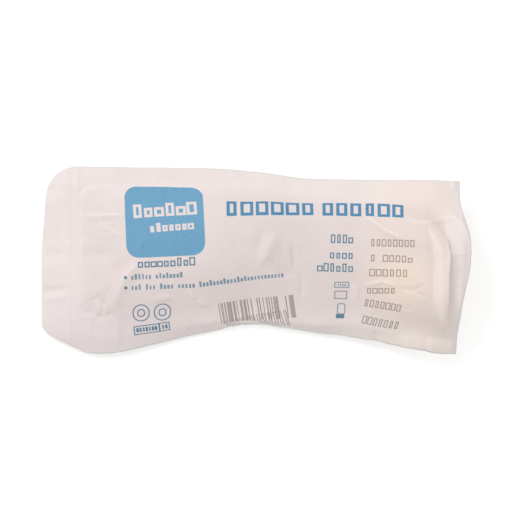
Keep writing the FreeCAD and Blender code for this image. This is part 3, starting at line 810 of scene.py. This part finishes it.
# %% [markdown]
# Everything in one ink is drawn together. A mapping node brings each shape's own place and turn to the
# origin, where its group draws it, and the strongest ink at each place is kept.

# %% Printing in one ink
def print_on(tree, sheet_place, boxes, rows):
    """The ink of some boxes and rows."""
    total = None
    for group, names, table in ((box_tree, BOX_SIZES, boxes), (row_tree, ROW_SIZES, rows)):
        for start, end, height, *extras in table:
            location, rotation, half_length, half_height = laid(start, end, height)
            if group is row_tree:
                extras[0] = 2.0 * half_length / extras[0]
            values = {"Vector": sheet_place, "Location": location, "Rotation": rotation}
            place = add(tree, "ShaderNodeMapping", values, vector_type="TEXTURE").outputs[0]
            sizes = dict(zip(names, (half_length, half_height, *extras)))
            shape = add(tree, "ShaderNodeGroup", {"Place": place, **sizes}, node_tree=group).outputs[0]
            total = shape if total is None else maths(tree, "MAXIMUM", total, shape)
    return total


print("panel on the sheet, mm:", np.round(laid(*PANEL[0][:3])[0], 1))

# %% [markdown]
# Over the pouch's hollow the paper's colour is darkened a little. This is painted shade, for the dimmer look
# of thin paper with a dark hollow behind it; where the film is bonded right behind it, the paper stays white.
# How deep the hollow is under each point of the paper can be measured on the solid. Along the flange the
# paper lies tight on plastic, and gets no painted shade. The share is kept as a second attribute of the mesh.

# %% Painted shade over the hollow behind the paper
BONDED_DEPTH = 1.0 * MM
HOLLOW_DEPTH = 13.0 * MM
FLANGE_SIDES = (
    [(65.6, -23.5), (61.4, -14.4), (62.1, -0.7), (61.2, 7.4), (59.8, 12.3)],
    [(67.0, -23.5), (67.0, -14.4), (67.4, 0.4), (66.7, 6.0), (63.5, 12.6)],
)
FLANGE_SOFTNESS = 0.7
PAST_FLANGE = 1000.0

paper_plan = paper[..., :2].reshape(-1, 2)
depth = paper[..., 2].reshape(-1) - drop(paper_plan, from_below=True)
hollow_shade = ease((depth - BONDED_DEPTH) / (HOLLOW_DEPTH - BONDED_DEPTH))
left, right = (
    np.interp(paper_plan[:, 1] / MM, *np.array(side).T[::-1], left=PAST_FLANGE, right=PAST_FLANGE)
    for side in FLANGE_SIDES
)
on_flange = ease((paper_plan[:, 0] / MM - left) / FLANGE_SOFTNESS + 0.5)
on_flange *= ease((right - paper_plan[:, 0] / MM) / FLANGE_SOFTNESS + 0.5)
hollow_shade *= 1.0 - on_flange
print("share of the paper over the hollow:", round(float((hollow_shade > 0.5).mean()), 2))

# %% [markdown]
# The crests of the sharper ridges are painted paler. Partly this is the real pale line of broken fibres along
# a sharp crease, and partly it is a painted highlight, brightening the crests as light on them would. The
# crests are a third attribute, worked out by the function that raised the folds.

# %% Pale crests, partly painted highlight
CREST_REACH = 0.9
FULL_CREST_RISE = 0.7

pale_crests_and_highlights = np.zeros(len(paper_plan))
for line, rise, _, _, sharp in FOLDS:
    if rise > 0.0:
        strength = sharp * min(rise / FULL_CREST_RISE, 1.0)
        pale_crests_and_highlights = np.maximum(pale_crests_and_highlights, fold(paper_plan, line, strength, CREST_REACH, CREST_REACH, 1.0) / MM)
print("share of the paper on a crest:", round(float((pale_crests_and_highlights > 0.0).mean()), 3))

# %% [markdown]
# The paper is a smooth white sheet, a little cloudy with fibre when light grazes it. Soft tints are laid on
# in the pouch's own axes: the paper is warmer towards the airway's flange and yellow from the bite block
# right under it, which show through it, and it is cooler and a little darker towards the front of the tab.

# %% Tints of the paper
PAPER_WHITE = colour(240, 229, 227)
PAPER_CLOUD = colour(238, 227, 225)
PAPER_WARM = colour(243, 229, 221)
PAPER_COOL = colour(234, 223, 223)
PAPER_YELLOW = colour(254, 235, 214)
# Colour of the paler crests: broken fibres, and partly a painted highlight.
PAPER_CREST_PALE_AND_HIGHLIGHT = colour(254, 246, 243)
# Features to the metre and detail of the noise, and the values between which it turns cloudy.
CLOUDS, CLOUD_EDGES = (260.0, 4.0), (0.35, 0.65)
# Where along the pouch the warm tint comes in and goes out, and its strength.
WARM_START, WARM_END, WARM_SHARE = (15.0 * MM, 60.0 * MM), (72.0 * MM, 66.0 * MM), 0.8
# Middle and reaches of each soft tint, its strength and its colour.
SOFT_TINTS = [
    ((-58.2, -28.1), (34.0, 22.0), 0.9, PAPER_COOL),
    ((49.8, -5.6), (15.0, 13.0), 0.8, PAPER_YELLOW),
    ((52.6, -13.0), (8.0, 4.0), 0.5, PAPER_YELLOW),
]
ANY_HEIGHT = 10.0
# How much the painted shade over the hollow darkens the paper's colour.
HOLLOW_PAINTED_SHADE = (0.93, 0.91, 0.905, 1.0)
CREST_SHARE = 0.6


def soft_spot(tree, place, middle, reaches):
    """1 at a place seen from above, falling to 0 at its reaches, in millimetres."""
    location = (middle[0] * MM, middle[1] * MM, 0.0)
    scale = (reaches[0] * MM, reaches[1] * MM, ANY_HEIGHT)
    values = {"Vector": place, "Location": location, "Scale": scale}
    turned = add(tree, "ShaderNodeMapping", values, vector_type="TEXTURE").outputs[0]
    away = add(tree, "ShaderNodeVectorMath", [turned], operation="LENGTH").outputs["Value"]
    return ramp(tree, away, 1.0, 0.0)


def paper_tone(tree, place):
    """The colour of unprinted paper."""
    cloud = ramp(tree, noise(tree, place, *CLOUDS), *CLOUD_EDGES)
    tone = mixed(tree, cloud, PAPER_WHITE, PAPER_CLOUD)
    along = add(tree, "ShaderNodeSeparateXYZ", [place]).outputs[0]
    warm = maths(tree, "MULTIPLY", ramp(tree, along, *WARM_START), ramp(tree, along, *WARM_END))
    tone = mixed(tree, maths(tree, "MULTIPLY", warm, WARM_SHARE), tone, PAPER_WARM)
    for middle, reaches, share, tint in SOFT_TINTS:
        spot = soft_spot(tree, place, middle, reaches)
        tone = mixed(tree, maths(tree, "MULTIPLY", spot, share), tone, tint)
    # Painted shade: the paper's colour is darker where the pouch is hollow behind it.
    tone = mixed(tree, attribute_of(tree, "hollow_shade", "Fac"), tone, HOLLOW_PAINTED_SHADE, "MULTIPLY")
    # The crests are painted paler: partly the broken fibres of a real crease, partly a painted highlight.
    crest = attribute_of(tree, "crest", "Fac")
    return mixed(tree, maths(tree, "MULTIPLY", crest, CREST_SHARE), tone, PAPER_CREST_PALE_AND_HIGHLIGHT)


print("soft tints:", len(SOFT_TINTS))

# %% [markdown]
# Ink doesn't fill the paper evenly, so it is a little paler on the fibres that stand out. The same fibres
# make the paper's gloss uneven, and a bump far finer than the folds makes its surface.

# %% Medical paper
INKS = {"mark": MARK_BLUE, "label": LABEL_BLUE, "fine": FINE_BLUE, "code": CODE_GREY}
INK_PALE = 0.10
FIBRES, FIBRE_EDGES = (1500.0, 5.0), (0.30, 0.70)
GRAIN, GRAIN_SHARE = (5200.0, 2.0), 0.4
FIBRE_DEPTH = 0.012 * MM
PAPER_ROUGHNESS, PAPER_ROUGHNESS_SPREAD = 0.58, 0.14
PAPER_GLOSS = 0.35


def printed_tone(tree, tone, speck):
    """The colour of paper with the print over it."""
    sheet_place = attribute_of(tree, "print_place", "Vector")
    cover = maths(tree, "MULTIPLY_ADD", speck, -INK_PALE, 1.0)
    panel = print_on(tree, sheet_place, PANEL, [])
    cut_out = print_on(tree, sheet_place, [], PANEL_ROWS)
    panel = maths(tree, "SUBTRACT", panel, cut_out, clamp=True)
    tone = mixed(tree, maths(tree, "MULTIPLY", panel, cover), tone, PANEL_BLUE)
    for name, ink in INKS.items():
        inked = print_on(tree, sheet_place, BOXES.get(name, []), ROWS[name])
        tone = mixed(tree, maths(tree, "MULTIPLY", inked, cover), tone, ink)
    return tone


def medical_paper(name, is_printed):
    """Medical paper, bare or with the pouch's print."""
    material = bpy.data.materials.new(name)
    material.use_nodes = True
    tree = material.node_tree
    shader = tree.nodes["Principled BSDF"]
    place = add(tree, "ShaderNodeTexCoord").outputs["Object"]
    fibre = noise(tree, place, *FIBRES)
    speck = ramp(tree, fibre, *FIBRE_EDGES)
    tone = paper_tone(tree, place)
    if is_printed:
        tone = printed_tone(tree, tone, speck)
    tree.links.new(tone, shader.inputs["Base Color"])
    rough = maths(tree, "MULTIPLY_ADD", speck, PAPER_ROUGHNESS_SPREAD, PAPER_ROUGHNESS)
    tree.links.new(rough, shader.inputs["Roughness"])
    shader.inputs["Specular IOR Level"].default_value = PAPER_GLOSS
    surface = maths(tree, "MULTIPLY_ADD", noise(tree, place, *GRAIN), GRAIN_SHARE, fibre)
    values = {"Height": surface, "Distance": FIBRE_DEPTH, "Strength": 1.0}
    bump = add(tree, "ShaderNodeBump", values).outputs[0]
    tree.links.new(bump, shader.inputs["Normal"])
    return material


printed_paper = medical_paper("printed_paper", is_printed=True)
bare_paper = medical_paper("bare_paper", is_printed=False)
print("printed paper:", len(printed_paper.node_tree.nodes), "nodes")

# %% [markdown]
# The film is a soft laminate, milky and satin. It is drawn deep over the airway, which thins it, so the
# airway's colour shows there faintly. Fine draw lines run down its walls.

# %% Pouch film
FILM_MILK = colour(236, 232, 226)
FILM_THIN = colour(240, 229, 206)
MILK_CLOUDS, MILK_EDGES, MILK_SHARE = (90.0, 3.0), (0.3, 0.7), 0.3
FLANGE_MIDDLE, FLANGE_REACHES, FLANGE_SHARE = (60.4, -5.3), (16.0, 22.0), 0.7
DRAW_LINES, DRAW_STRETCH, DRAW_DEPTH, DRAW_STRENGTH = (900.0, 2.0), (1.0, 1.0, 0.12), 0.02 * MM, 0.6
FILM_ROUGHNESS, FILM_ROUGHNESS_SPREAD = 0.24, 0.15

film_coat = bpy.data.materials.new("pouch_film")
film_coat.use_nodes = True
tree = film_coat.node_tree
shader = tree.nodes["Principled BSDF"]
place = add(tree, "ShaderNodeTexCoord").outputs["Object"]
milk = ramp(tree, noise(tree, place, *MILK_CLOUDS), *MILK_EDGES)
tone = mixed(tree, maths(tree, "MULTIPLY", milk, MILK_SHARE), FILM_MILK, FILM_THIN)
over_flange = soft_spot(tree, place, FLANGE_MIDDLE, FLANGE_REACHES)
tone = mixed(tree, maths(tree, "MULTIPLY", over_flange, FLANGE_SHARE), tone, FILM_THIN)
tree.links.new(tone, shader.inputs["Base Color"])
stretched = add(tree, "ShaderNodeMapping", {"Vector": place, "Scale": DRAW_STRETCH}).outputs[0]
drawn = noise(tree, stretched, *DRAW_LINES)
rough = maths(tree, "MULTIPLY_ADD", drawn, FILM_ROUGHNESS_SPREAD, FILM_ROUGHNESS)
tree.links.new(rough, shader.inputs["Roughness"])
values = {"Height": drawn, "Distance": DRAW_DEPTH, "Strength": DRAW_STRENGTH}
tree.links.new(add(tree, "ShaderNodeBump", values).outputs[0], shader.inputs["Normal"])
print("film:", len(tree.nodes), "nodes")

# %% [markdown]
# Each web becomes a thin closed mesh: its outer side, the same grid moved inwards by the web's
# thickness, and a rim of narrow faces round the cut edge. Solidify would do it too, but it would give both
# sides the same place in the UV map, and this map must give the printed side room of its own.

# %% Closing a web
# Room in the map: what the outer side has, where the inner side starts and what it has, and the rim's start.
TOP_SHARE = 0.80
INNER_START, INNER_SHARE = 0.82, 0.15
RIM_START = 0.985


def grid_faces(index, is_flipped):
    """Four-cornered faces of a grid of vertex numbers."""
    a, b, c, d = index[:-1, :-1], index[1:, :-1], index[1:, 1:], index[:-1, 1:]
    corners = (a, d, c, b) if is_flipped else (a, b, c, d)
    return np.stack([corner.reshape(-1) for corner in corners], axis=1)


def web_map(rows, columns, side_faces, rim_count):
    """Map places of every corner of a web's faces, first those of both sides and then those of its rim."""
    share_u, share_v = np.meshgrid(np.linspace(0, 1, rows), np.linspace(0, 1, columns), indexing="ij")
    outer_uv = np.stack((share_u, share_v * TOP_SHARE), axis=2).reshape(-1, 2)
    inner_uv = np.stack((share_u, INNER_START + share_v * INNER_SHARE), axis=2).reshape(-1, 2)
    side_uv = np.concatenate((outer_uv, inner_uv))[side_faces.reshape(-1)]
    steps = np.arange(rim_count + 1) / rim_count
    low, high = np.full(rim_count, RIM_START), np.full(rim_count, 1.0)
    rim_uv = np.stack((steps[:-1], high, steps[:-1], low, steps[1:], low, steps[1:], high), axis=1)
    return np.concatenate((side_uv.reshape(-1), rim_uv.reshape(-1)))


def close_web(name, grid, thickness, faces_up, coats):
    """A thin closed piece from a grid, with its outer side on the grid."""
    rows, columns = grid.shape[:2]
    inner = grid - normals(grid) * (thickness if faces_up else -thickness)
    index = np.arange(rows * columns).reshape(rows, columns)
    outer_faces = grid_faces(index, not faces_up)
    inner_faces = grid_faces(index + rows * columns, faces_up)
    side_faces = np.concatenate((outer_faces, inner_faces))
    loop = np.concatenate((index[:, 0], index[-1, 1:], index[-2::-1, -1], index[0, -2:0:-1]))
    if not faces_up:
        loop = loop[::-1]
    below = loop + rows * columns
    rim_faces = np.stack((loop, below, np.roll(below, -1), np.roll(loop, -1)), axis=1)
    faces = np.concatenate((side_faces, rim_faces))
    points = np.concatenate((grid.reshape(-1, 3), inner.reshape(-1, 3)))
    mesh = bpy.data.meshes.new(name)
    mesh.from_pydata(points.tolist(), [], faces.tolist())
    uv_layer = mesh.uv_layers.new(name="OFBake")
    uv_layer.data.foreach_set("uv", web_map(rows, columns, side_faces, len(loop)))
    material_of = np.repeat([0, 1], [len(outer_faces), len(inner_faces) + len(rim_faces)])
    for coat in coats:
        mesh.materials.append(coat)
    mesh.polygons.foreach_set("material_index", material_of)
    mesh.shade_smooth()
    mesh.update()
    piece = bpy.data.objects.new(name, mesh)
    bpy.context.scene.collection.objects.link(piece)
    print(name, "triangles:", 2 * len(faces))
    return piece


# %% [markdown]
# Now the seal lines are pressed into each grid by the tree, which is set up through a modifier. Its inputs
# are found by their sockets' identifiers, and they are set before the object is first evaluated. The
# result is read back from a plain mesh, and the helper object is deleted with its modifier.

# %% Seal lines pressed in
LINE_RISE = 0.20 * MM
LINE_HALF_WIDTH = 0.75 * MM


def press_lines(grid, coat):
    """The grid with the seal lines pressed into it, and the material that the tree gave it."""
    rows, columns = grid.shape[:2]
    mesh = bpy.data.meshes.new("sheet")
    index = np.arange(rows * columns).reshape(rows, columns)
    mesh.from_pydata(grid.reshape(-1, 3).tolist(), [], grid_faces(index, False).tolist())
    sheet_object = bpy.data.objects.new("sheet", mesh)
    bpy.context.scene.collection.objects.link(sheet_object)
    modifier = sheet_object.modifiers.new("pressed lines", "NODES")
    modifier.node_group = pressed
    sizes = {"Lines": seal_lines, "Rise": LINE_RISE, "Half Width": LINE_HALF_WIDTH, "Web": coat}
    for item in pressed.interface.items_tree:
        if item.in_out == "INPUT" and item.name in sizes:
            modifier[item.identifier] = sizes[item.name]
    evaluated = sheet_object.evaluated_get(bpy.context.evaluated_depsgraph_get())
    result_mesh = bpy.data.meshes.new_from_object(evaluated)
    points = np.empty(rows * columns * 3)
    result_mesh.vertices.foreach_get("co", points)
    bpy.data.objects.remove(sheet_object)
    moved = np.linalg.norm(points.reshape(-1, 3) - grid.reshape(-1, 3), axis=1)
    print("points on a seal line:", int((moved > LINE_RISE / 2.0).sum()))
    return points.reshape(rows, columns, 3), result_mesh.materials[0]


PAPER_THICKNESS = 0.14 * MM
FILM_THICKNESS = 0.13 * MM
RIM_GAP = 0.01 * MM
creased[..., 2] = np.maximum(creased[..., 2], PAPER_THICKNESS + FILM_THICKNESS + RIM_GAP)
paper_grid, paper_coat = press_lines(creased, printed_paper)
film_grid, film_outside = press_lines(film, film_coat)
film_grid[..., 2] = np.maximum(film_grid[..., 2], 0.0)

# %% [markdown]
# Both webs are closed, and the paper gets its attributes: where its print lies, its painted shade over the
# hollow behind it, and its crests, which are painted paler. The printed paper is only on the outside, and the
# film shows its own coat on both sides.

# %% Both webs
paper_web = close_web("paper_web", paper_grid, PAPER_THICKNESS, True, [paper_coat, bare_paper])
attribute = paper_web.data.attributes.new("print_place", "FLOAT_VECTOR", "POINT")
attribute.data.foreach_set("vector", np.concatenate((print_place, print_place)).reshape(-1))
for name, shares in (("hollow_shade", hollow_shade), ("crest", pale_crests_and_highlights)):
    attribute = paper_web.data.attributes.new(name, "FLOAT", "POINT")
    attribute.data.foreach_set("value", np.concatenate((shares, shares)))
film_web = close_web("film_web", film_grid, FILM_THICKNESS, False, [film_outside, film_outside])
bpy.data.objects.remove(seal_lines)

for piece, finish_slot in ((paper_web, "medical_paper"), (film_web, "pouch_film")):
    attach(piece, "root")
    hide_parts("sealed_pouch")

# %% [markdown]
# The pouch lies on a white table in soft light. The table is a real white surface for everything but the
# camera and reflections, which also get a little light straight from it, so that the ground reads as
# pure white but keeps the pouch's shadow.

# %% Table
TABLE_SIZE = 6.0
TABLE_WHITE = (0.80, 0.80, 0.80, 1.0)
TABLE_GLOW = 0.45
TABLE_ROUGHNESS = 0.9

table_mesh = bpy.data.meshes.new("table")
half = TABLE_SIZE / 2.0
table_corners = [(-half, -half, 0.0), (half, -half, 0.0), (half, half, 0.0), (-half, half, 0.0)]
table_mesh.from_pydata(table_corners, [], [(0, 1, 2, 3)])
table = bpy.data.objects.new("table", table_mesh)
bpy.context.scene.collection.objects.link(table)
table_coat = bpy.data.materials.new("white_table")
table_coat.use_nodes = True
tree = table_coat.node_tree
matt = tree.nodes["Principled BSDF"]
matt.inputs["Base Color"].default_value = TABLE_WHITE
matt.inputs["Roughness"].default_value = TABLE_ROUGHNESS
rays = add(tree, "ShaderNodeLightPath").outputs
seen = maths(tree, "MAXIMUM", rays["Is Camera Ray"], rays["Is Glossy Ray"])
seen = maths(tree, "MAXIMUM", seen, rays["Is Transmission Ray"])
glow = add(tree, "ShaderNodeEmission", {"Strength": TABLE_GLOW}).outputs[0]
bright = add(tree, "ShaderNodeAddShader", [matt.outputs[0], glow]).outputs[0]
shown = add(tree, "ShaderNodeMixShader", [seen, matt.outputs[0], bright]).outputs[0]
tree.links.new(shown, tree.nodes["Material Output"].inputs["Surface"])
table_mesh.materials.append(table_coat)
table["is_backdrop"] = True
print("table, m across:", TABLE_SIZE)

# %% [markdown]
# One large lamp hangs high, behind the pouch and to its left, as the shading in the photograph says, and
# an even world fills the rest. Together they light white paper just under full white.

# %% Light
KEY_PLACE = (-0.62, 0.70, 1.18)
KEY_SIZE = 0.55
KEY_POWER = 7.3
SKY = 0.705
WHITE = (1.0, 1.0, 1.0, 1.0)

key_data = bpy.data.lights.new("key", "AREA")
key_data.size = KEY_SIZE
key_data.energy = KEY_POWER
key = bpy.data.objects.new("key", key_data)
key.location = KEY_PLACE
key.rotation_euler = (-Vector(KEY_PLACE)).to_track_quat("-Z", "Y").to_euler()
bpy.context.scene.collection.objects.link(key)

world = bpy.data.worlds.new("studio")
world.use_nodes = True
tree = world.node_tree
sky = tree.nodes["Background"]
sky.inputs["Color"].default_value = WHITE
sky.inputs["Strength"].default_value = SKY
is_camera = add(tree, "ShaderNodeLightPath").outputs["Is Camera Ray"]
backdrop = add(tree, "ShaderNodeBackground", {"Color": WHITE, "Strength": 1.0}).outputs[0]
shown = add(tree, "ShaderNodeMixShader", [is_camera, sky.outputs[0], backdrop]).outputs[0]
tree.links.new(shown, tree.nodes["World Output"].inputs["Surface"])
bpy.context.scene.world = world
bpy.context.scene.view_settings.view_transform = "Standard"
print("lamp, m away:", round(key.location.length, 2))

# %% [markdown]
# At last the size of what is shown is printed beside the imported size.

# %% Size and finish
visual_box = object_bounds()
boxes = {
    "cad": [[float(value) for value in place] for place in cad_box],
    "visual": [[float(value) for value in place] for place in visual_box],
}
for name, (low, high) in boxes.items():
    print(name, "mm:", [round((b - a) / MM, 1) for a, b in zip(low, high)])
